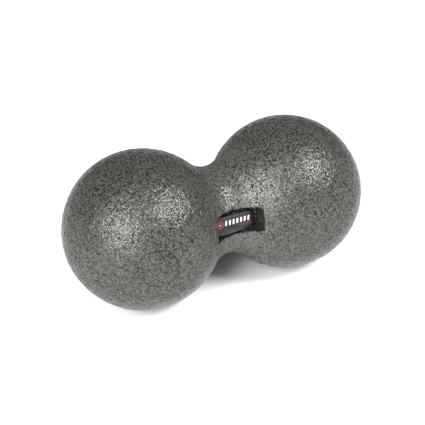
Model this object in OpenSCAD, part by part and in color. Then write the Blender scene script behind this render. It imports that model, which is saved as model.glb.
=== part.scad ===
// Double massage ball: two balls joined by a waist, moulded as one piece of bead foam.
// A woven label strap bridges a pocket in the waist, and its ends are glued into two slits.
// Row frame: origin at the centre of the waist, +X along the two balls, +Z up, pocket on -Y.

/* [Foam body] */
// Diameter of each ball
ball_d = 80; // [70:1:120]
// Distance between the two ball centres, as a multiple of the ball diameter
centre_ratio = 1.0; // [0.96:0.01:1.04]
// Diameter of the waist at its thinnest, as a multiple of the ball diameter
waist_ratio = 0.5726; // [0.54:0.005:0.62]

/* [Label pocket] */
// Length of the pocket along X
pocket_len = 25.6; // [25.6:0.1:28]
// Width of the pocket around the waist
pocket_w = 12.8; // [12.4:0.1:16]
// Depth of the pocket's flat floor below the thinnest part of the waist
pocket_depth = 3.2; // [2.8:0.1:4]
// Corner radius of the pocket
pocket_corner_r = 1.3; // [0.5:0.1:1.3]
// Angle of the pocket above the horizontal
pocket_elevation = 13.5; // [0:0.5:30]

/* [Label strap] */
// Width of the ribbon
strap_w = 10; // [9:0.1:10]
// Thickness of the folded ribbon
strap_t = 0.8; // [0.6:0.1:1]
// How far the strap lies below the middle of the pocket's width
strap_drop = 0.7; // [-0.7:0.1:0.7]
// Height of the strap's face above the thinnest part of the waist
strap_rise = 0.4; // [0:0.1:0.8]
// Where the strap turns down at its left end
strap_left_x = -12.1; // [-12.1:0.1:-9]
// Where the strap turns down at its right end
strap_right_x = 9.8; // [9:0.1:12]
// Outer radius of each turn
strap_bend_r = 1.5; // [1.2:0.1:2]
// How far each end goes into the foam below the pocket's floor
strap_anchor = 8; // [5:0.5:10]

/* [Strap adhesive] */
// Thickness of the glue around each end of the strap
glue_t = 0.3; // [0.2:0.05:0.4]

/* [Label marks] */
// Thickness of the printed marks
mark_t = 0.12; // [0.1:0.01:0.2]
// Radius of the round emblem
emblem_r = 2; // [1.5:0.1:2.4]
// Radius of the light dot in the emblem's middle
dot_r = 0.4; // [0.3:0.1:0.9]
// Number of bars in the plain band that stands where a name would be
bar_count = 7; // [3:1:9]
// Height of those bars across the ribbon
bar_h = 2.3; // [1:0.1:2.5]
// How far the top of each bar leans along the ribbon
bar_lean = 0.6; // [0:0.1:0.8]

/* [Hidden] */

round_fn = 96;
arc_step = 3;                // angle between the points of an outline's arc
ball_r = ball_d / 2;
centre_x = centre_ratio * ball_r;
waist_r = waist_ratio * ball_r;
// Radius of the fillet that meets both balls smoothly and is waist_r from the axis at X = 0
fillet_r = (centre_x * centre_x + waist_r * waist_r - ball_r * ball_r) / (2 * (ball_r - waist_r));
// Angle at a ball's centre, from the axis to the point where ball and fillet meet
join_angle = atan2(waist_r + fillet_r, centre_x);

pocket_floor = waist_r - pocket_depth;      // distance from the axis
strap_face = waist_r + strap_rise;          // distance from the axis
anchor_floor = pocket_floor - strap_anchor; // distance from the axis
glue_sink = 0.4;                            // the glue stops this far below the pocket's floor
outside = ball_r + 2;                       // clear of the foam's surface at the pocket

// Places of the marks: x along the strap, v upwards from the middle of the pocket
emblem_x = strap_left_x + strap_bend_r + emblem_r;
emblem_v = 0.9;
dot_gap = 0.35;                             // dark ring between the dot and the emblem
band_start_x = emblem_x + emblem_r + 0.5;
band_end_x = strap_right_x - strap_bend_r - 0.6;
band_v = 1.2;
bar_gap = 1.05;
underline_x = 0.9;
underline_v = -1;
underline_w = 6.8;
underline_h = 0.9;

// Points of an arc round a centre, from angle a0 to angle a1, both ends included
function arc(centre, r, a0, a1) =
  let (n = max(1, ceil(abs(a1 - a0) / arc_step)))
  [for (i = [0 : n]) let (a = a0 + (a1 - a0) * i / n) centre + r * [cos(a), sin(a)]];

// A rectangle about the origin with round corners
function round_rect(w, h, r) = concat(
  arc([w / 2 - r, h / 2 - r], r, 0, 90),
  arc([-w / 2 + r, h / 2 - r], r, 90, 180),
  arc([-w / 2 + r, -h / 2 + r], r, 180, 270),
  arc([w / 2 - r, -h / 2 + r], r, 270, 360)
);

// Half outline of the body: [distance from the axis, place along it]
function body_outline() = concat(
  arc([0, -centre_x], ball_r, -90, 90 - join_angle),
  arc([waist_r + fillet_r, 0], fillet_r, 270 - join_angle, 90 + join_angle),
  arc([0, centre_x], ball_r, join_angle - 90, 90)
);

// Outline of the strap seen along its width: [place along X, distance from the axis]
function strap_outline(x0, x1, face, foot, r, t) = concat(
  [[x0, foot]],
  arc([x0 + r, face - r], r, 180, 90),
  arc([x1 - r, face - r], r, 90, 0),
  [[x1, foot]],
  [[x1 - t, foot]],
  arc([x1 - r, face - r], r - t, 0, 90),
  arc([x0 + r, face - r], r - t, 90, 180),
  [[x0 + t, foot]]
);

// Runs a flat shape across the strap's width, with the shape's Y pointing out of the pocket
module across_strap() {
  rotate([180 - pocket_elevation, 0, 0])
    translate([0, 0, strap_drop])
      linear_extrude(height = strap_w, center = true) children();
}

// Puts a flat shape in the pocket at a distance from the axis, facing outwards, with its Y up
module facing_out(distance, depth) {
  rotate([-pocket_elevation, 0, 0])
    translate([0, -distance, 0])
      rotate([90, 0, 0])
        linear_extrude(height = depth) children();
}

// The slit for one end of the strap, grown by a margin all round
module anchor_slit(x0, x1, margin) {
  facing_out(anchor_floor - margin, strap_anchor + margin + 0.01)
    translate([x0 - margin, -strap_drop - strap_w / 2 - margin])
      square([x1 - x0 + 2 * margin, strap_w + 2 * margin]);
}

module foam_body() {
  color("#6d6c69")
    difference() {
      rotate([0, 90, 0])
        rotate_extrude($fn = round_fn) polygon(body_outline());
      facing_out(pocket_floor, outside - pocket_floor)
        polygon(round_rect(pocket_len, pocket_w, pocket_corner_r));
      anchor_slit(strap_left_x, strap_left_x + strap_t, glue_t);
      anchor_slit(strap_right_x - strap_t, strap_right_x, glue_t);
    }
}

module label_strap() {
  color("#1c1c1e")
    across_strap()
      polygon(strap_outline(strap_left_x, strap_right_x, strap_face, anchor_floor, strap_bend_r, strap_t));
}

// A cup of glue round one end of the strap, which fills the slit
module strap_glue(x0, x1) {
  color("#d8cfae")
    difference() {
      facing_out(anchor_floor - glue_t, strap_anchor + glue_t - glue_sink)
        translate([x0 - glue_t, -strap_drop - strap_w / 2 - glue_t])
          square([x1 - x0 + 2 * glue_t, strap_w + 2 * glue_t]);
      facing_out(anchor_floor, strap_anchor + 1)
        translate([x0, -strap_drop - strap_w / 2]) square([x1 - x0, strap_w]);
    }
}

module strap_glue_left() {
  strap_glue(strap_left_x, strap_left_x + strap_t);
}

module strap_glue_right() {
  strap_glue(strap_right_x - strap_t, strap_right_x);
}

// A thin printed shape on the strap's face
module printed() {
  facing_out(strap_face, mark_t) children();
}

module label_emblem() {
  color("#a3262e")
    printed()
      translate([emblem_x, emblem_v])
        difference() {
          circle(r = emblem_r, $fn = 48);
          circle(r = dot_r + dot_gap, $fn = 32);
        }
}

module label_band() {
  pitch = (band_end_x - bar_lean - band_start_x + bar_gap) / bar_count;
  bar_w = pitch - bar_gap;
  color("#e9e9e6")
    printed() {
      translate([emblem_x, emblem_v]) circle(r = dot_r, $fn = 32);
      for (i = [0 : bar_count - 1])
        translate([band_start_x + i * pitch, band_v - bar_h / 2])
          polygon([[0, 0], [bar_w, 0], [bar_w + bar_lean, bar_h], [bar_lean, bar_h]]);
    }
}

module label_underline() {
  color("#8f2a30")
    printed()
      translate([underline_x, underline_v - underline_h / 2])
        square([underline_w, underline_h]);
}

foam_body();
label_strap();
strap_glue_left();
strap_glue_right();
label_emblem();
label_band();
label_underline();
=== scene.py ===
"""Looks for the double massage ball: bead foam moulded in one piece, with a woven label strap in its waist.

Points handled by the functions, and names that end in _MM, are in millimetres. Blender's objects are in
metres. The row frame has its origin at the centre of the waist, +X along the two balls, +Z up, and the
label's pocket on the -Y side.
"""

import bmesh
import bpy
import numpy as np
from mathutils import Matrix, Vector, noise
from mathutils.geometry import delaunay_2d_cdt
from mathutils.kdtree import KDTree


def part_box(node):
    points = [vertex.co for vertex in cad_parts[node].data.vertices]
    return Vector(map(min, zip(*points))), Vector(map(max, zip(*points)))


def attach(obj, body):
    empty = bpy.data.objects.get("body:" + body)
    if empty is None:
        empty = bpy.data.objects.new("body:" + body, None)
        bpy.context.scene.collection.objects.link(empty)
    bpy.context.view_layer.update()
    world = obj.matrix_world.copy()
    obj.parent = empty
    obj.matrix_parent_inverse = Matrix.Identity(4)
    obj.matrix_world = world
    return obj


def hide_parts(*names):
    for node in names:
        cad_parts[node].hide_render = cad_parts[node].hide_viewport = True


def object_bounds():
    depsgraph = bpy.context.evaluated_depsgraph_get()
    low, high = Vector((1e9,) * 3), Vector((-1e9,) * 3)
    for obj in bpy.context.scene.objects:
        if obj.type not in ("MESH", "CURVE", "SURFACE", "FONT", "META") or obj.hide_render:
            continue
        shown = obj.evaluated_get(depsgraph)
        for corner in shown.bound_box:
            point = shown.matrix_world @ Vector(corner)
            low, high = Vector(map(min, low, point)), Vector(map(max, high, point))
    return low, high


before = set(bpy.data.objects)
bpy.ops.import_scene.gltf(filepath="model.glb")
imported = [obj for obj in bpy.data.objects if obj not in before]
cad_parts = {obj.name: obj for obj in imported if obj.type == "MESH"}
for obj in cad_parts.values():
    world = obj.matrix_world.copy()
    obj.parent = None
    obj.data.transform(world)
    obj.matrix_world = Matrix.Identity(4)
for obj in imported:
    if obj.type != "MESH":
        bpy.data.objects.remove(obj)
cad_low, cad_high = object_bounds()
rng = np.random.default_rng(7)

MM = 0.001

# ---------------------------------------------------------------- sizes, from the frame and the design
body_low, body_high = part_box("foam_body")
BALL_MM = (body_high[0] - body_low[0]) / 4 / MM  # radius of each ball; their centres are two radii apart
WAIST_MM = 0.5726 * BALL_MM  # radius of the waist at its thinnest
FILLET_MM = WAIST_MM**2 / (2 * (BALL_MM - WAIST_MM))  # radius of the fillet that meets both balls smoothly
JOIN_ANGLE = np.arctan2(WAIST_MM + FILLET_MM, BALL_MM)  # at a ball's centre, from the axis to the fillet

POCKET_LENGTH_MM = 25.6
POCKET_WIDTH_MM = 12.8
POCKET_CORNER_MM = 1.3
POCKET_FLOOR_MM = WAIST_MM - 3.2  # from the axis
POCKET_ELEVATION = np.radians(13.5)

STRAP_WIDTH_MM = 10.0
STRAP_DROP_MM = 0.7  # how far the strap lies below the middle of the pocket's width
STRAP_FACE_MM = WAIST_MM + 0.4  # from the axis
STRAP_LEFT_MM = -12.1
STRAP_RIGHT_MM = 9.8
STRAP_BEND_MM = 1.5
STRAP_FOOT_MM = POCKET_FLOOR_MM - 8.0  # from the axis
STRAP_THICK_MM = 0.8  # in the design; each slit has room for it and for the glue
GLUE_MM = 0.3

# the pocket's own directions
ALONG = np.array([1.0, 0.0, 0.0])
ACROSS = np.array([0.0, np.sin(POCKET_ELEVATION), np.cos(POCKET_ELEVATION)])
OUT = np.array([0.0, -np.cos(POCKET_ELEVATION), np.sin(POCKET_ELEVATION)])

# ---------------------------------------------------------------- foam
MESH_STEP_MM = 0.7  # distance between neighbouring points of the foam's mesh
ROW_SHARE = np.sqrt(3) / 2  # rows of equal triangles are this share of their side apart
RIM_REACH_MM = 0.8  # how far from the pocket's rim its edge is softened
RIM_ROUNDS = 3
TOUCH_MM = 0.05  # points this close to a surface count as on it


def in_pocket(along, across, out):
    """Points given in the pocket's directions, as points of the row frame."""
    along, across, out = np.broadcast_arrays(along, across, out)
    return along[..., None] * ALONG + across[..., None] * ACROSS + out[..., None] * OUT


def body_outline(step):
    """Half outline of the body as (place along X, distance from the axis), a step apart, from end to end."""
    arcs = [
        (-BALL_MM, 0.0, BALL_MM, np.pi, JOIN_ANGLE),
        (0.0, WAIST_MM + FILLET_MM, FILLET_MM, JOIN_ANGLE - np.pi, -JOIN_ANGLE),
        (BALL_MM, 0.0, BALL_MM, np.pi - JOIN_ANGLE, 0.0),
    ]
    lengths = np.array([r * abs(a1 - a0) for _, _, r, a0, a1 in arcs])
    starts = np.concatenate([[0.0], np.cumsum(lengths)])
    along = np.linspace(0.0, starts[-1], int(round(starts[-1] / step)) + 1)
    points = []
    for s in along:
        k = min(int(np.searchsorted(starts, s, side="right")) - 1, len(arcs) - 1)
        x, y, r, a0, a1 = arcs[k]
        a = a0 + (a1 - a0) * (s - starts[k]) / lengths[k]
        points.append((x + r * np.cos(a), y + r * np.sin(a)))
    return np.array(points)


def body_mesh():
    """Points and triangles of the smooth body, in nearly equal triangles."""
    outline = body_outline(MESH_STEP_MM * ROW_SHARE)
    rings, points = [], []
    for x, r in outline:
        count = max(1, int(round(2 * np.pi * r / MESH_STEP_MM))) if r > 1e-6 else 1
        start = rng.random() if count > 1 else 0.0
        turn = (np.arange(count) + start) * 2 * np.pi / count
        rings.append((len(points), count, start))
        points.extend(np.column_stack([np.full(count, x), r * np.cos(turn), r * np.sin(turn)]))
    faces = []
    for (a, count_a, start_a), (b, count_b, start_b) in zip(rings, rings[1:]):
        i = j = 0
        while i < count_a or j < count_b:
            next_a = (i + 1 + start_a) / count_a if i < count_a and count_a > 1 else np.inf
            next_b = (j + 1 + start_b) / count_b if j < count_b and count_b > 1 else np.inf
            if next_a == np.inf and next_b == np.inf:
                break
            here_a, here_b = a + i % count_a, b + j % count_b
            if next_a <= next_b:
                faces.append((here_a, a + (i + 1) % count_a, here_b))
                i += 1
            else:
                faces.append((here_a, b + (j + 1) % count_b, here_b))
                j += 1
    return np.array(points), faces


def in_scene(name, data):
    """An object that holds data, in the scene."""
    made = bpy.data.objects.new(name, data)
    bpy.context.scene.collection.objects.link(made)
    return made


def mesh_object(name, points, faces):
    """A mesh object from points in millimetres."""
    mesh = bpy.data.meshes.new(name)
    mesh.from_pydata((np.asarray(points) * MM).tolist(), [], [tuple(f) for f in faces])
    mesh.update()
    return in_scene(name, mesh)


def round_rectangle(width, height, radius, step):
    """Points round a rectangle with round corners, about a step apart, anticlockwise."""
    corners = [(1, 1, 0.0), (-1, 1, 0.5), (-1, -1, 1.0), (1, -1, 1.5)]
    raw = []
    for sx, sy, a in corners:
        turn = (a + np.linspace(0, 0.5, 9)) * np.pi
        centre = np.array([sx * (width / 2 - radius), sy * (height / 2 - radius)])
        raw.extend(centre + radius * np.column_stack([np.cos(turn), np.sin(turn)]))
    raw = np.array(raw + [raw[0]])
    run = np.concatenate([[0], np.cumsum(np.linalg.norm(np.diff(raw, axis=0), axis=1))])
    at = np.linspace(0, run[-1], int(round(run[-1] / step)) + 1)[:-1]
    return np.column_stack([np.interp(at, run, raw[:, k]) for k in (0, 1)])


def filled(loop, step, hole=None):
    """Triangles over a flat loop less a hole, with a lattice of points inside it: (points, triangles)."""
    low, high = loop.min(0), loop.max(0)
    walls = [loop] if hole is None else [loop, hole]
    rim = np.concatenate(walls)
    inner = []
    row_step = step * ROW_SHARE
    for k, y in enumerate(np.arange(low[1] + row_step, high[1] - row_step / 2, row_step)):
        for x in np.arange(low[0] + step * (0.7 + 0.5 * (k % 2)), high[0] - step * 0.6, step):
            if np.linalg.norm(rim - (x, y), axis=1).min() > 0.6 * step:
                inner.append((x, y))
    points = [Vector(p) for p in rim] + [Vector(p) for p in inner]
    edges, start = [], 0
    for wall in walls:
        edges += [(start + i, start + (i + 1) % len(wall)) for i in range(len(wall))]
        start += len(wall)
    made, _, faces, *_ = delaunay_2d_cdt(points, edges, [], 1, 1e-6)
    made = np.array([tuple(p) for p in made])
    if hole is not None:
        centre, radius = hole.mean(0), np.linalg.norm(hole - hole.mean(0), axis=1).mean()
        faces = [t for t in faces if np.linalg.norm(made[list(t)].mean(0) - centre) > radius]
    return made, faces


def pocket_cutter():
    """A closed prism that cuts the pocket, finely divided so that its walls can take the beads' relief."""
    loop = round_rectangle(POCKET_LENGTH_MM, POCKET_WIDTH_MM, POCKET_CORNER_MM, MESH_STEP_MM)
    flat, triangles = filled(loop, MESH_STEP_MM)
    levels = np.arange(POCKET_FLOOR_MM, BALL_MM + 1, MESH_STEP_MM)
    ring = len(loop)
    points = [in_pocket(flat[:, 0], flat[:, 1], levels[0])]
    faces = [tuple(reversed(t)) for t in triangles]
    # the loop's own points come first in flat, and each level above the floor is the loop alone
    below, start = 0, len(flat)
    for level in levels[1:]:
        points.append(in_pocket(loop[:, 0], loop[:, 1], level))
        for i in range(ring):
            j = (i + 1) % ring
            faces.append((below + i, below + j, start + j))
            faces.append((below + i, start + j, start + i))
        below, start = start, start + ring
    faces.append(tuple(range(below, below + ring)))
    return mesh_object("pocket_cutter", np.concatenate(points), faces)


def slit_cutter(name, left, right):
    """A box that cuts the slit for one end of the strap."""
    low = in_pocket(left - GLUE_MM, -STRAP_DROP_MM - STRAP_WIDTH_MM / 2 - GLUE_MM, STRAP_FOOT_MM - GLUE_MM)
    past_floor = 0.5
    height = POCKET_FLOOR_MM - STRAP_FOOT_MM + GLUE_MM + past_floor
    size = [right - left + 2 * GLUE_MM, STRAP_WIDTH_MM + 2 * GLUE_MM, height]
    made = bmesh.new()
    bmesh.ops.create_cube(made, size=1.0)
    axes = Matrix([[ALONG[k], ACROSS[k], OUT[k]] for k in range(3)])
    for v in made.verts:
        v.co = (axes @ Vector([(v.co[k] + 0.5) * size[k] for k in range(3)]) + Vector(low)) * MM
    bmesh.ops.recalc_face_normals(made, faces=made.faces)
    mesh = bpy.data.meshes.new(name)
    made.to_mesh(mesh)
    made.free()
    return in_scene(name, mesh)


def cut(piece, cutter):
    """Takes cutter away from piece, and removes it."""
    step = piece.modifiers.new(cutter.name, "BOOLEAN")
    step.operation = "DIFFERENCE"
    step.solver = "MANIFOLD"
    step.object = cutter
    graph = bpy.context.evaluated_depsgraph_get()
    mesh = bpy.data.meshes.new_from_object(piece.evaluated_get(graph))
    piece.modifiers.clear()
    piece.data = mesh
    bpy.data.objects.remove(cutter)


def distance_to_body(points):
    """How far each point lies outside the smooth body's surface, in millimetres; negative inside."""
    x = np.abs(points[:, 0])
    r = np.hypot(points[:, 1], points[:, 2])
    to_ball = np.hypot(x - BALL_MM, r) - BALL_MM
    axis_r = WAIST_MM + FILLET_MM
    by_fillet = (r < axis_r) & (x * axis_r < (axis_r - r) * BALL_MM)
    return np.where(by_fillet, FILLET_MM - np.hypot(x, r - axis_r), to_ball)


def triangles_of(mesh):
    """The mesh's points in millimetres, and its triangles."""
    points = np.empty(len(mesh.vertices) * 3)
    mesh.vertices.foreach_get("co", points)
    mesh.calc_loop_triangles()
    triangles = np.empty(len(mesh.loop_triangles) * 3, dtype=np.int64)
    mesh.loop_triangles.foreach_get("vertices", triangles)
    return points.reshape(-1, 3) / MM, triangles.reshape(-1, 3)


def normals_of(points, triangles):
    """A unit normal at each point, from the triangles round it."""
    a, b, c = (points[triangles[:, k]] for k in range(3))
    face = np.cross(b - a, c - a)
    total = np.zeros_like(points)
    for k in range(3):
        np.add.at(total, triangles[:, k], face)
    return total / np.maximum(np.linalg.norm(total, axis=1, keepdims=True), 1e-12)


def tree_of(points):
    tree = KDTree(len(points))
    for i, p in enumerate(points):
        tree.insert(p, i)
    tree.balance()
    return tree


def softened(points, triangles, near, reach, rounds):
    """Points moved towards their neighbours within reach of the points near, which rounds an edge there."""
    tree = tree_of(near)
    gap = np.array([tree.find(p)[2] for p in points])
    pull = 0.6
    weight = np.clip(1.4 * (1 - gap / reach), 0, 1)[:, None] * pull
    pairs = np.unique(np.sort(triangles[:, [0, 1, 1, 2, 2, 0]].reshape(-1, 2), axis=1), axis=0)
    pairs = np.concatenate([pairs, pairs[:, ::-1]])
    count = np.bincount(pairs[:, 0], minlength=len(points))[:, None]
    for _ in range(rounds):
        total = np.zeros_like(points)
        np.add.at(total, pairs[:, 0], points[pairs[:, 1]])
        points = points + weight * (total / np.maximum(count, 1) - points)
    return points


def noise_at(points, size, start):
    """Smooth noise from about -1 to 1 at each point, with features of that size."""
    return np.array([noise.noise(Vector(p)) for p in points / size + start])


def spread_out(points, least):
    """Some of the points, at random and at least that far from each other."""
    taken, cells = [], {}
    steps = [(i, j, k) for i in (-1, 0, 1) for j in (-1, 0, 1) for k in (-1, 0, 1)]
    for index in rng.permutation(len(points)):
        p = points[index]
        cell = tuple(np.floor(p / least).astype(int))
        around = (cells.get((cell[0] + i, cell[1] + j, cell[2] + k)) for i, j, k in steps)
        if all(q is None or ((p - q) ** 2).sum() >= least**2 for near in around if near for q in near):
            cells.setdefault(cell, []).append(p)
            taken.append(p)
    return np.array(taken)


# ---------------------------------------------------------------- relief of the moulded beads
BEAD_STEP_MM = 3.5  # least distance between the centres of two beads
BORDER_WAVE_MM = 0.5  # how far the beads' borders wander
BORDER_WAVE_SIZE_MM = 1.7
DOME_MM = 0.04
DOME_REACH_MM = 0.9  # from a bead's border to where most of the dome's height is reached
GROOVE_MM = 0.035  # depth of the groove between two beads
GROOVE_HALF_WIDTH_MM = 0.45
PIT_MM = 0.42  # depth of a deep pit where three beads meet
PIT_RADIUS_MM = 0.75
PIT_SHARE = (0.5, 0.45)  # mean and spread of the pits' depths, as shares of PIT_MM
MOST_PIT_SHARE = 1.3
STEP_MM = 0.02  # how much one bead stands above the next
TILT = 0.025  # how much one bead leans
CRINKLE_MM = 0.018
FLOOR_SHARE = 0.4  # share of the relief that is left on the pocket's floor

# round mark that the mould's bead filler leaves on the left ball
FILLER_CENTRE_MM = np.array([-48.2, -39.2, 4.0])
FILLER_RADIUS_MM = 9.6
FILLER_GROOVE_MM = 0.25
FILLER_GROOVE_HALF_WIDTH_MM = 0.5
FILLER_SINK_MM = 0.15
FILLER_EDGE_MM = 0.15  # the sunk part begins over about this much, at the groove's inner side
FILLER_FLATNESS = 0.45  # share of the beads' relief that is missing within the mark
FILLER_SHADE = 0.6  # how much darker the beads are within it


def bead_relief(points):
    """At each point: the relief's height, the distance to the bead's border, the pit and the bead's tone."""
    seeds = spread_out(points, BEAD_STEP_MM)
    tree = tree_of(seeds)
    wave = np.column_stack([noise_at(points, BORDER_WAVE_SIZE_MM, start) for start in (11.3, 47.1, 83.9)])
    found = [tree.find_n(p, 3) for p in points + BORDER_WAVE_MM * wave]
    away = np.array([[f[2] for f in each] for each in found])
    owner = np.array([[f[1] for f in each] for each in found])
    border = away[:, 1] - away[:, 0]
    corner = away[:, 2] - away[:, 0]
    bead = owner[:, 0]

    lean = rng.normal(0, TILT, (len(seeds), 3))
    stand = rng.normal(0, STEP_MM, len(seeds))
    tone = rng.random(len(seeds))
    pit_depth = np.clip(rng.normal(*PIT_SHARE, len(seeds)), 0, MOST_PIT_SHARE)

    inside = 1 - np.exp(-border / DOME_REACH_MM)
    height = DOME_MM * inside
    height -= GROOVE_MM * np.exp(-((border / GROOVE_HALF_WIDTH_MM) ** 2))
    height += inside * (stand[bead] + ((points - seeds[bead]) * lean[bead]).sum(1))
    pit = np.exp(-((corner / PIT_RADIUS_MM) ** 2)) * pit_depth[owner.sum(1) % len(seeds)]
    height -= PIT_MM * pit
    height += CRINKLE_MM * (noise_at(points, 1.1, 5.5) + 0.7 * noise_at(points, 2.3, 25.5))
    return height, border, pit, tone[bead]


def filler_mark(points):
    """The filler's round mark: its height, and how far each point lies in its groove and inside it."""
    centre = np.array([-BALL_MM, 0.0, 0.0])
    way = FILLER_CENTRE_MM - centre
    way /= np.linalg.norm(way)
    from_centre = points - centre
    length = np.linalg.norm(from_centre, axis=1)
    angle = np.arccos(np.clip(from_centre @ way / np.maximum(length, 1e-9), -1, 1))
    beyond = angle * BALL_MM - FILLER_RADIUS_MM
    on_ball = np.abs(length - BALL_MM) < 1.0
    groove = np.exp(-((beyond / FILLER_GROOVE_HALF_WIDTH_MM) ** 2)) * on_ball
    within = on_ball / (1 + np.exp((beyond + FILLER_GROOVE_HALF_WIDTH_MM) / FILLER_EDGE_MM))
    return -(FILLER_GROOVE_MM * groove + FILLER_SINK_MM * within), groove, within


def add_attribute(mesh, name, values):
    made = mesh.attributes.new(name, "FLOAT", "POINT")
    made.data.foreach_set("value", np.asarray(values, dtype=np.float32))


def foam_body():
    """The moulded body, with its pocket, its slits and the relief of its beads."""
    piece = mesh_object("foam", *body_mesh())
    cut(piece, pocket_cutter())
    cut(piece, slit_cutter("slit_left", STRAP_LEFT_MM, STRAP_LEFT_MM + STRAP_THICK_MM))
    cut(piece, slit_cutter("slit_right", STRAP_RIGHT_MM - STRAP_THICK_MM, STRAP_RIGHT_MM))
    points, triangles = triangles_of(piece.data)
    bpy.data.objects.remove(piece)

    out = points @ OUT
    in_cut = distance_to_body(points) < -TOUCH_MM
    skin = ~in_cut
    # the pocket's rim: points of the skin that share a triangle with a point of the pocket's wall
    mixed = in_cut[triangles].any(1) & skin[triangles].any(1)
    rim = np.unique(triangles[mixed])
    rim = rim[skin[rim]]
    points = softened(points, triangles, points[rim], RIM_REACH_MM, RIM_ROUNDS)

    height, border, pit, tone = bead_relief(points)
    mark, in_groove, within_mark = filler_mark(points)
    height = height * (1 - FILLER_FLATNESS * within_mark) + mark
    # painted shade in the filler mark's groove, added to the pits' painted shade
    pit = pit + in_groove
    tone = tone - FILLER_SHADE * within_mark
    in_slit = in_cut & (out < POCKET_FLOOR_MM - TOUCH_MM)
    on_floor = in_cut & (out < POCKET_FLOOR_MM + 0.2)
    height = np.where(in_slit, 0.0, np.where(on_floor, height * FLOOR_SHARE, height))
    points = points + normals_of(points, triangles) * height[:, None]

    piece = mesh_object("foam_shell", points, triangles)
    mesh = piece.data
    add_attribute(mesh, "border", border)
    # the pits and the filler's groove, which the foam's material darkens with painted shade
    add_attribute(mesh, "pit", pit)
    add_attribute(mesh, "tone", tone)
    # the pocket's cut faces, which the foam's material darkens with painted shade
    add_attribute(mesh, "pocket", in_cut)
    mesh.shade_smooth()
    return piece


# ---------------------------------------------------------------- the label strap
RIBBON_THICK_MM = 0.55
RIBBON_STEP_MM = 0.25
RIPPLE_MM = 0.05
CROWN_MM = 0.6  # how far the ribbon's middle bows out between its long edges
LEAN_MM = 0.8  # how far the lower edge stands out, and the upper edge sinks, from a ribbon that lies square
BOW_MM = 0.35  # how far the ribbon bows out between its two turns
CURL_MM = 2.0  # how far the lower edge curls into the pocket at the right turn
CURL_START = 0.15  # where the curl starts, as a share of the way from the ribbon's middle to its lower edge
CURL_RISE = 0.55  # how far the curled edge moves up the pocket, as a share of its depth
LEAST_SHARE = 0.35  # share of the crown and lean that is left at the turns, and of the curl at the left one
PRINT_MM = 0.07  # how far a print stands above the ribbon's face
PRINT_SINK_MM = 0.05  # how far it goes below it
PRINT_STEP_MM = 0.3


def ribbon_share(x):
    """How far along the ribbon's face a place lies, from 0 at the left turn to 1 at the right."""
    return np.clip((x - STRAP_LEFT_MM) / (STRAP_RIGHT_MM - STRAP_LEFT_MM), 0, 1)


def ribbon_curl(x, v):
    """How far the ribbon curls into the pocket at x along it, and at v above the pocket's middle."""
    below = -2 * (v + STRAP_DROP_MM) / STRAP_WIDTH_MM
    lower_part = np.clip((below - CURL_START) / (1 - CURL_START), 0, 1) ** 1.5
    return CURL_MM * (LEAST_SHARE + (1 - LEAST_SHARE) * ribbon_share(x)) * lower_part


def ribbon_out(x, v):
    """How far the ribbon's outer face lies from the axis, over the pocket, at v above the pocket's middle."""
    bow = np.sin(np.pi * ribbon_share(x))
    side = 2 * (v + STRAP_DROP_MM) / STRAP_WIDTH_MM
    arch = (CROWN_MM * side**2 + LEAN_MM * side) * (LEAST_SHARE + (1 - LEAST_SHARE) * bow)
    return STRAP_FACE_MM + BOW_MM * bow - arch - ribbon_curl(x, v)


def ribbon_line():
    """The ribbon's path seen along its width, as (place along X, distance from the axis)."""
    r = STRAP_BEND_MM
    left, right, face = STRAP_LEFT_MM, STRAP_RIGHT_MM, STRAP_FACE_MM
    leg = np.arange(STRAP_FOOT_MM, face - r, RIBBON_STEP_MM)
    bend = np.linspace(0, np.pi / 2, 12)
    line = [(left, y) for y in leg]
    line += [(left + r - r * np.cos(a), face - r + r * np.sin(a)) for a in bend]
    line += [(x, face) for x in np.arange(left + r, right - r, RIBBON_STEP_MM)[1:]]
    line += [(right - r + r * np.sin(a), face - r + r * np.cos(a)) for a in bend]
    line += [(right, y) for y in leg[::-1]]
    return np.array(line)


def ribbon_section():
    """Points round the ribbon's section: across the outer face, and back across the inner one."""
    half_w, half_t = STRAP_WIDTH_MM / 2, RIBBON_THICK_MM / 2
    turn = np.linspace(-np.pi / 2, np.pi / 2, 7)
    flat = np.arange(-half_w + half_t, half_w - half_t + 1e-6, RIBBON_STEP_MM)
    edge = np.column_stack([half_w - half_t + half_t * np.cos(turn), half_t * np.sin(turn)])
    loop = [(v, half_t) for v in flat]
    loop += [(v, t) for v, t in edge[::-1][1:]]
    loop += [(v, -half_t) for v in flat[::-1][1:]]
    loop += [(-v, -t) for v, t in edge[::-1][1:-1]]
    return np.array(loop)


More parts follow.
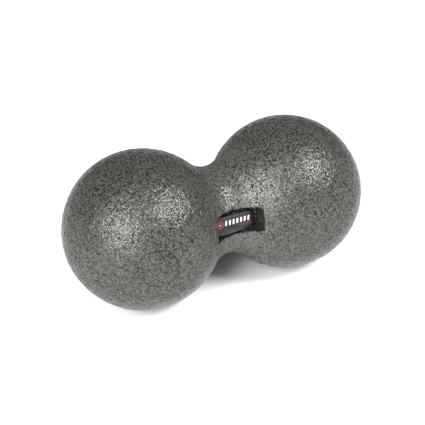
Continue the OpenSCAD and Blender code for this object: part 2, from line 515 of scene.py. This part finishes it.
def label_strap():
    """The ribbon, a closed thin band whose ends go down into the slits, and its length in millimetres."""
    line = ribbon_line()
    step = np.gradient(line, axis=0)
    step /= np.linalg.norm(step, axis=1, keepdims=True)
    facing = np.column_stack([-step[:, 1], step[:, 0]])
    run = np.concatenate([[0], np.cumsum(np.linalg.norm(np.diff(line, axis=0), axis=1))])
    over = np.clip((line[:, 1] - STRAP_FACE_MM + STRAP_BEND_MM) / STRAP_BEND_MM, 0, 1)
    loop = ribbon_section()
    across, thick = loop[:, 0] - STRAP_DROP_MM, loop[:, 1]
    points = []
    for (x, y), face, share, s in zip(line, facing, over, run):
        lift = (ribbon_out(x, across) - STRAP_FACE_MM) * share
        ripple = RIPPLE_MM * np.array([noise.noise(Vector((s / 3.1, v / 2.2, 0.7))) for v in across])
        depth = thick - RIBBON_THICK_MM / 2 + lift + ripple
        raised = across + CURL_RISE * ribbon_curl(x, across) * share
        points.append(in_pocket(x + face[0] * depth, raised, y + face[1] * depth))
    n, count = len(line), len(loop)
    faces = []
    for i in range(n - 1):
        for j in range(count):
            k = (j + 1) % count
            faces.append((i * count + j, i * count + k, (i + 1) * count + k, (i + 1) * count + j))
    faces.append(tuple(range(count))[::-1])
    faces.append(tuple((n - 1) * count + j for j in range(count)))
    piece = mesh_object("ribbon", np.concatenate(points), faces)
    mesh = piece.data
    # UV in millimetres along and across the ribbon, which the weave reads
    length = np.repeat(run, count)
    width = np.tile(across, n)
    layer = mesh.uv_layers.new(name="weave")
    for corner in mesh.loops:
        layer.data[corner.index].uv = (length[corner.vertex_index], width[corner.vertex_index])
    mesh.shade_smooth()
    made = bmesh.new()
    made.from_mesh(mesh)
    bmesh.ops.recalc_face_normals(made, faces=made.faces)
    made.to_mesh(mesh)
    made.free()
    return piece, run[-1]


def printed_patch(name, loops, hole=None):
    """A thin raised print on the ribbon's face: one closed shape for each loop of (along, across) points."""
    points, faces = [], []
    for loop in loops:
        flat, triangles = filled(loop, PRINT_STEP_MM, hole)
        start, count = sum(len(p) for p in points), len(flat)
        face = ribbon_out(flat[:, 0], flat[:, 1])
        points.append(in_pocket(flat[:, 0], flat[:, 1], face + PRINT_MM))
        points.append(in_pocket(flat[:, 0], flat[:, 1], face - PRINT_SINK_MM))
        edges = {}
        for t in triangles:
            faces.append(tuple(start + i for i in t))
            faces.append(tuple(start + count + i for i in reversed(t)))
            edges.update({(a, b): None for a, b in zip(t, (*t[1:], t[0]))})
        for a, b in edges:
            if (b, a) not in edges:
                faces.append((start + b, start + a, start + count + a, start + count + b))
    return mesh_object(name, np.concatenate(points), faces)


def circle_loop(centre, radius, count=40):
    """Points round a circle."""
    a = np.arange(count) * 2 * np.pi / count
    return np.column_stack([centre[0] + radius * np.cos(a), centre[1] + radius * np.sin(a)])


def bar_loop(left, right, low, high, lean=0.0):
    """Points round a bar with round corners, whose top is lean further right than its foot."""
    corner, step = 0.18, 0.25
    loop = round_rectangle(right - left, high - low, corner, step)
    loop[:, 0] += lean * loop[:, 1] / (high - low)
    return loop + [(left + right) / 2, (low + high) / 2]


# ---------------------------------------------------------------- materials
class Look:
    """A node material with a Principled shader, built one named step at a time."""

    def __init__(self, name, **shader):
        self.material = bpy.data.materials.new(name)
        self.material.use_nodes = True
        self.tree = self.material.node_tree
        self.tree.nodes.clear()
        self.shader = self.add("ShaderNodeBsdfPrincipled", **shader)
        self.add("ShaderNodeOutputMaterial", None, Surface=self.shader.outputs[0])

    def add(self, kind, settings=None, **inputs):
        """A node with its settings, its input values, and links for the inputs that are given as sockets."""
        node = self.tree.nodes.new(kind)
        for key, value in (settings or {}).items():
            setattr(node, key, value)
        for key, value in inputs.items():
            numbered = key[0] == "i" and key[1:].isdigit()
            socket = node.inputs[int(key[1:]) if numbered else key.replace("_", " ")]
            if isinstance(value, bpy.types.NodeSocket):
                self.tree.links.new(value, socket)
            else:
                socket.default_value = value
        return node

    def math(self, operation, a, b=0.0, clamp=False):
        return self.add("ShaderNodeMath", {"operation": operation, "use_clamp": clamp}, i0=a, i1=b).outputs[0]

    def total(self, first, *others):
        """The sum of several sockets."""
        for other in others:
            first = self.math("ADD", first, other)
        return first

    def attribute(self, name):
        return self.add("ShaderNodeAttribute", {"attribute_name": name}).outputs["Fac"]

    def span(self, value, low, high, to_low=0.0, to_high=1.0, clamp=True):
        """value, carried from the range low to high onto another range."""
        node = self.add("ShaderNodeMapRange", {"clamp": clamp}, Value=value)
        node.inputs["From Min"].default_value = low
        node.inputs["From Max"].default_value = high
        node.inputs["To Min"].default_value = to_low
        node.inputs["To Max"].default_value = to_high
        return node.outputs[0]

    def in_mm(self):
        """The place on the piece in the row frame, in millimetres."""
        place = self.add("ShaderNodeTexCoord").outputs["Object"]
        scaled = self.add("ShaderNodeVectorMath", {"operation": "SCALE"}, i0=place)
        scaled.inputs["Scale"].default_value = 1 / MM
        return scaled.outputs[0]

    def blend(self, value, dark, light):
        """A colour between dark and light."""
        node = self.add("ShaderNodeMix", {"data_type": "RGBA"})
        self.tree.links.new(value, node.inputs["Factor"])
        colours = [s for s in node.inputs if s.type == "RGBA"]
        colours[0].default_value = (*dark, 1)
        colours[1].default_value = (*light, 1)
        return [s for s in node.outputs if s.type == "RGBA"][0]

    def bump(self, height, depth_mm):
        """A normal from a height that is depth_mm deep for each unit."""
        depth = depth_mm * MM
        return self.add("ShaderNodeBump", None, Height=height, Strength=1.0, Distance=depth).outputs[0]

    def drive(self, name, value):
        """Links a socket to one of the shader's inputs."""
        self.tree.links.new(value, self.shader.inputs[name])


FOAM_DARK = (0.003, 0.003, 0.0027)
FOAM_LIGHT = (0.0755, 0.0750, 0.0672)
FOAM_BUMP_MM = 0.17
FACETS_PER_MM = 1.12  # facets of the crinkled skin in a millimetre
SPECKS_PER_MM = 2.0
PORES_PER_MM = 0.42
PORE_EDGE = (0.14, 0.26)  # a pore fades between these distances from its cell's middle
PORE_CHANCE = (0.45, 0.75)  # a cell drawn below the first has no pore, and one above the second a full one
WRINKLES_PER_MM = 1.3
MOTTLES_PER_MM = 0.16
FACET_EDGE = (0.1, 0.95)  # a facet's shade changes between these distances from its middle
# what each of these adds to the shade, which runs from 0 for FOAM_DARK to 1 for FOAM_LIGHT
FACET_SHADES = (1.12, -0.26)  # at a facet's middle and at its border
WAIST_PAINTED_HIGHLIGHT_SHADES = (0.95, -0.2)  # the same again, in the waist alone: a painted highlight that lightens the waist's colour, and through the grain also makes it glossier
SPECK_SHADE = 0.27  # these four give or take up to this much
FACET_SHADE = 0.18
WRINKLE_SHADE = 0.03
MOTTLE_SHADE = 0.03
BORDER_SHADES = (-0.06, 0.02)  # at a bead's border and inside the bead
TONE_SHADES = (-0.15, 0.05)  # for a dark bead and a light one
# painted shade in the pores
PORE_PAINTED_SHADE = -1.1
# painted shade in the pits and in the filler's groove
PIT_PAINTED_SHADE = -0.5
# painted shade inside the pocket and its slits
POCKET_PAINTED_SHADE = -0.75
WAIST_END_MM = (9.0, 18.0)  # the waist's painted highlight and gloss, and its duller outline, fade between these distances from its centre
FOAM_ROUGHNESS = (0.42, 0.2)  # where the grain is dark and where it is light
SLANT_ROUGHNESS = 0.3  # the skin's fine hollows take gloss away at a slant
EDGE_GLOSS = 0.27  # most of it comes back at the very edge, except in the waist
SLANT = (0.25, 0.5)  # facing away, from 0 for straight on to 1 at the outline, over which the first comes in
EDGE = (0.5, 0.8)  # and the second
FACET_LIFT = 0.35  # how much one facet stands above the next, against its own slope
PORE_DROP = 1.6


def foam_look():
    """Charcoal bead foam: a satin skin of small crinkled facets, with darker bead borders, painted shade in
    its pits, pores and pocket, and a painted highlight over its waist.
    """
    look = Look("bead_foam")
    place = look.in_mm()
    along = look.add("ShaderNodeSeparateXYZ", None, Vector=place).outputs[0]
    waist = look.span(look.math("ABSOLUTE", along), *WAIST_END_MM, 1.0, 0.0)

    # the cells' borders wander a little
    noise_colour = look.add("ShaderNodeTexNoise", None, Vector=place, Scale=1.2, Detail=1.0).outputs["Color"]
    half = (0.5, 0.5, 0.5)
    aside = look.add("ShaderNodeVectorMath", {"operation": "SUBTRACT"}, i0=noise_colour, i1=half).outputs[0]
    wander = {"i0": aside, "i1": half, "i2": place}
    bent = look.add("ShaderNodeVectorMath", {"operation": "MULTIPLY_ADD"}, **wander).outputs[0]
    facets, specks, pores = (
        look.add("ShaderNodeTexVoronoi", {"feature": "F1"}, Vector=bent, Scale=scale)
        for scale in (FACETS_PER_MM, SPECKS_PER_MM, PORES_PER_MM)
    )
    facet, speck, chance = (
        look.add("ShaderNodeSeparateColor", None, Color=cells.outputs["Color"]).outputs[0]
        for cells in (facets, specks, pores)
    )
    from_middle = facets.outputs["Distance"]
    # pores: small holes, sunk by the bump and darkened with painted shade
    hole = look.span(pores.outputs["Distance"], *PORE_EDGE, 1.0, 0.0)
    pore = look.math("MULTIPLY", hole, look.span(chance, *PORE_CHANCE))
    wrinkles = {"Scale": WRINKLES_PER_MM, "Detail": 2.0, "Roughness": 0.6, "Distortion": 0.6}
    wrinkle = look.add("ShaderNodeTexNoise", None, Vector=place, **wrinkles).outputs[0]
    mottles = {"Scale": MOTTLES_PER_MM, "Detail": 3.0, "Roughness": 0.55}
    mottle = look.add("ShaderNodeTexNoise", None, Vector=place, **mottles).outputs[0]

    grain = look.total(
        look.span(from_middle, *FACET_EDGE, *FACET_SHADES),
        look.span(speck, 0, 1, -SPECK_SHADE, SPECK_SHADE),
        look.span(facet, 0, 1, -FACET_SHADE, FACET_SHADE),
        look.span(wrinkle, 0.3, 0.7, -WRINKLE_SHADE, WRINKLE_SHADE),
        look.span(look.attribute("border"), 0.0, 0.7, *BORDER_SHADES),
        # painted highlight: lighter facets over the waist
        look.math("MULTIPLY", waist, look.span(from_middle, *FACET_EDGE, *WAIST_PAINTED_HIGHLIGHT_SHADES)),
    )
    shade = look.total(
        grain,
        look.span(look.attribute("tone"), -1, 1, *TONE_SHADES, clamp=False),
        look.span(mottle, 0.3, 0.7, -MOTTLE_SHADE, MOTTLE_SHADE),
        look.math("MULTIPLY", pore, PORE_PAINTED_SHADE),
        look.math("MULTIPLY", look.attribute("pit"), PIT_PAINTED_SHADE),
    )
    # painted shade on the pocket's walls and floor and in the slits, darkening the cut faces' colour
    painted_pocket_shade = look.math("MULTIPLY", look.attribute("pocket"), POCKET_PAINTED_SHADE)
    shade = look.math("ADD", shade, painted_pocket_shade, clamp=True)
    look.drive("Base Color", look.blend(shade, FOAM_DARK, FOAM_LIGHT))

    facing = look.add("ShaderNodeLayerWeight", None, Blend=0.5).outputs["Facing"]
    slant = look.span(facing, *SLANT, 0.0, SLANT_ROUGHNESS)
    edge = look.span(facing, *EDGE, 0.0, EDGE_GLOSS)
    waist_edge = look.math("MULTIPLY", waist, look.span(facing, *EDGE, 0.0, SLANT_ROUGHNESS))
    duller = look.math("ADD", look.math("SUBTRACT", slant, edge), waist_edge)
    look.drive("Roughness", look.math("ADD", look.span(grain, 0.1, 0.75, *FOAM_ROUGHNESS), duller))

    height = look.math("SUBTRACT", look.math("MULTIPLY", facet, FACET_LIFT), from_middle)
    height = look.math("SUBTRACT", height, look.math("MULTIPLY", pore, PORE_DROP))
    look.drive("Normal", look.bump(height, FOAM_BUMP_MM))
    look.shader.inputs["Specular IOR Level"].default_value = 0.48
    look.shader.inputs["Specular Tint"].default_value = (1.0, 0.96, 0.9, 1.0)
    return look.material


WEAVE_PITCH_MM = 0.36
WEAVE_BUMP_MM = 0.015
RIBBON_DARK = (0.003, 0.003, 0.0035)
RIBBON_LIGHT = (0.0125, 0.0129, 0.0137)


def ribbon_look():
    """Black satin ribbon with a fine weave, streaked along its threads."""
    look = Look("black_ribbon", Roughness=0.45)
    place = look.add("ShaderNodeUVMap", {"uv_map": "weave"}).outputs[0]
    length, width = look.add("ShaderNodeSeparateXYZ", None, Vector=place).outputs[:2]
    turns = [look.math("MULTIPLY", way, 2 * np.pi / WEAVE_PITCH_MM) for way in (length, width)]
    weave = look.math("MULTIPLY", *(look.math("SINE", turn) for turn in turns))
    stretched = {"X": look.math("MULTIPLY", length, 0.5), "Y": look.math("MULTIPLY", width, 4.5)}
    along_threads = look.add("ShaderNodeCombineXYZ", None, **stretched).outputs[0]
    streaks = look.add("ShaderNodeTexNoise", None, Vector=along_threads, Scale=1.0, Detail=2.0).outputs[0]
    shade = look.math("ADD", look.span(weave, -1, 1, 0.25, 0.6), look.span(streaks, 0.3, 0.7, -0.2, 0.2))
    look.drive("Base Color", look.blend(shade, RIBBON_DARK, RIBBON_LIGHT))
    look.drive("Normal", look.bump(weave, WEAVE_BUMP_MM))
    look.shader.inputs["Specular IOR Level"].default_value = 0.4
    return look.material


def thread_look(name, fresh, worn):
    """Thread of one colour on the ribbon, a little uneven."""
    look = Look(name, Roughness=0.6)
    threads = look.add("ShaderNodeTexNoise", None, Vector=look.in_mm(), Scale=5.0, Detail=2.0).outputs[0]
    look.drive("Base Color", look.blend(look.span(threads, 0.3, 0.7), worn, fresh))
    look.drive("Normal", look.bump(threads, 0.02))
    return look.material


def glue_look():
    """Dried hot glue: amber, glossy and slightly lumpy."""
    look = Look("dried_glue", Roughness=0.3)
    lumps = look.add("ShaderNodeTexNoise", None, Vector=look.in_mm(), Scale=0.9, Detail=2.0).outputs[0]
    look.drive("Base Color", look.blend(lumps, (0.32, 0.25, 0.12), (0.6, 0.52, 0.32)))
    look.drive("Normal", look.bump(lumps, 0.15))
    look.shader.inputs["Subsurface Weight"].default_value = 0.2
    look.shader.inputs["Subsurface Scale"].default_value = 0.001
    return look.material


def floor_look():
    """Matt white, very slightly uneven."""
    look = Look("pale_floor", Roughness=0.9)
    grain = look.add("ShaderNodeTexNoise", None, Vector=look.in_mm(), Scale=0.02, Detail=2.0)
    look.drive("Base Color", look.blend(grain.outputs[0], (0.91, 0.91, 0.91), (0.93, 0.93, 0.93)))
    look.shader.inputs["Specular IOR Level"].default_value = 0.2
    return look.material


# ---------------------------------------------------------------- pieces
# generic marks on the ribbon: places along X from the waist's centre, and up from the pocket's middle
EMBLEM_RADIUS_MM = 2.0
EMBLEM_MM = (STRAP_LEFT_MM + STRAP_BEND_MM + EMBLEM_RADIUS_MM, 0.9)
DOT_RADIUS_MM = 0.4
DOT_GAP_MM = 0.35
BAND_LEFT_MM = EMBLEM_MM[0] + EMBLEM_RADIUS_MM + 0.5
BAND_RIGHT_MM = STRAP_RIGHT_MM - STRAP_BEND_MM - 0.6
BAND_LOW_MM, BAND_HIGH_MM = 0.05, 2.35
BAR_GAP_MM = 1.05
BAR_LEAN_MM = 0.6
BAR_COUNT = 7
UNDERLINE_MM = (0.9, 7.7, -1.45, -0.55)  # left, right, low and high

EMBLEM_RED = ((0.165, 0.033, 0.037), (0.08, 0.02, 0.023))  # fresh and worn
BAND_WHITE = ((0.58, 0.58, 0.565), (0.33, 0.33, 0.33))
UNDERLINE_RED = ((0.08, 0.018, 0.021), (0.035, 0.011, 0.012))


def put_in(piece, node, material):
    """Puts a piece in the model in place of a CAD node."""
    piece.data.materials.append(material)
    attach(piece, "root")
    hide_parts(node)


foam = foam_body()
put_in(foam, "foam_body", foam_look())

ribbon, ribbon_length = label_strap()
put_in(ribbon, "label_strap", ribbon_look())

emblem_hole = circle_loop(EMBLEM_MM, DOT_RADIUS_MM + DOT_GAP_MM, 24)
emblem = printed_patch("emblem_print", [circle_loop(EMBLEM_MM, EMBLEM_RADIUS_MM)], emblem_hole)
put_in(emblem, "label_emblem", thread_look("emblem_thread", *EMBLEM_RED))

bar_pitch = (BAND_RIGHT_MM - BAR_LEAN_MM - BAND_LEFT_MM + BAR_GAP_MM) / BAR_COUNT
bars = []
for i in range(BAR_COUNT):
    left = BAND_LEFT_MM + BAR_LEAN_MM / 2 + i * bar_pitch
    bars.append(bar_loop(left, left + bar_pitch - BAR_GAP_MM, BAND_LOW_MM, BAND_HIGH_MM, BAR_LEAN_MM))
band = printed_patch("band_print", [circle_loop(EMBLEM_MM, DOT_RADIUS_MM, 24), *bars])
put_in(band, "label_band", thread_look("light_thread", *BAND_WHITE))

underline = printed_patch("underline_print", [bar_loop(*UNDERLINE_MM)])
put_in(underline, "label_underline", thread_look("underline_thread", *UNDERLINE_RED))

glue = glue_look()
for name in ("strap_glue_left", "strap_glue_right"):
    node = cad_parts[name]
    node.data.materials.clear()
    node.data.materials.append(glue)

# ---------------------------------------------------------------- floor, light and camera
CAMERA_PITCH = np.radians(33.72)  # downwards
CAMERA_YAW = np.radians(26.09)  # from +Y towards +X
CAMERA_DISTANCE = 0.4786
CAMERA_AIM = Vector((-0.0018, -0.0001, -0.0013))
CAMERA_LENS = 79.5
LIGHT_DISTANCE = 1.5
AMBIENT_STRENGTH = 0.02
FLOOR_SIZE = 2.0

scene = bpy.context.scene
scene.view_settings.view_transform = "Standard"

bpy.ops.mesh.primitive_plane_add(size=FLOOR_SIZE, location=(0, 0, cad_low[2]))
floor = bpy.context.object
floor.name = "floor"
floor.data.materials.append(floor_look())


def heading_and_rise(heading, rise):
    """The direction that lies at a heading from +Y towards +X, and that far above the horizontal."""
    level = np.cos(rise)
    return Vector((np.sin(heading) * level, np.cos(heading) * level, np.sin(rise)))


def softbox(name, turn, rise, width, height, power):
    """An area light aimed at the object, turned to the camera's right and raised, both in degrees."""
    way = heading_and_rise(CAMERA_YAW + np.pi - np.radians(turn), np.radians(rise))
    light = bpy.data.lights.new(name, "AREA")
    light.shape = "RECTANGLE"
    light.size, light.size_y = width, height
    light.energy = power
    lamp = in_scene(name, light)
    lamp.location = way * LIGHT_DISTANCE
    lamp.rotation_euler = way.to_track_quat("Z", "Y").to_euler()
    lamp.visible_camera = False


softbox("softbox_left", -33, 31, 0.85, 1.0, 44.0)
softbox("softbox_right", 70, 47, 0.6, 0.5, 29.5)
softbox("softbox_top", 14, 66, 0.9, 0.5, 4.5)
softbox("low_fill", -5, 9, 1.4, 0.3, 4.0)
softbox("rim_light", 180, 12, 0.9, 0.5, 1.2)

# the world is white where the camera sees it, and gives the object hardly any light
world = bpy.data.worlds.new("studio")
scene.world = world
world.use_nodes = True
sky = world.node_tree
sky.nodes.clear()
mix = sky.nodes.new("ShaderNodeMixShader")
path = sky.nodes.new("ShaderNodeLightPath")
end = sky.nodes.new("ShaderNodeOutputWorld")
sky.links.new(path.outputs["Is Camera Ray"], mix.inputs[0])
for slot, strength in ((1, AMBIENT_STRENGTH), (2, 1.0)):
    background = sky.nodes.new("ShaderNodeBackground")
    background.inputs["Color"].default_value = (1, 1, 1, 1)
    background.inputs["Strength"].default_value = strength
    sky.links.new(background.outputs[0], mix.inputs[slot])
sky.links.new(mix.outputs[0], end.inputs[0])

camera_data = bpy.data.cameras.new("camera")
camera_data.lens = CAMERA_LENS
camera_data.sensor_width = 36.0
camera_data.clip_start = 0.01
camera = in_scene("camera", camera_data)
look_way = heading_and_rise(CAMERA_YAW, -CAMERA_PITCH)
camera.location = CAMERA_AIM - look_way * CAMERA_DISTANCE
camera.rotation_euler = look_way.to_track_quat("-Z", "Y").to_euler()
scene.camera = camera
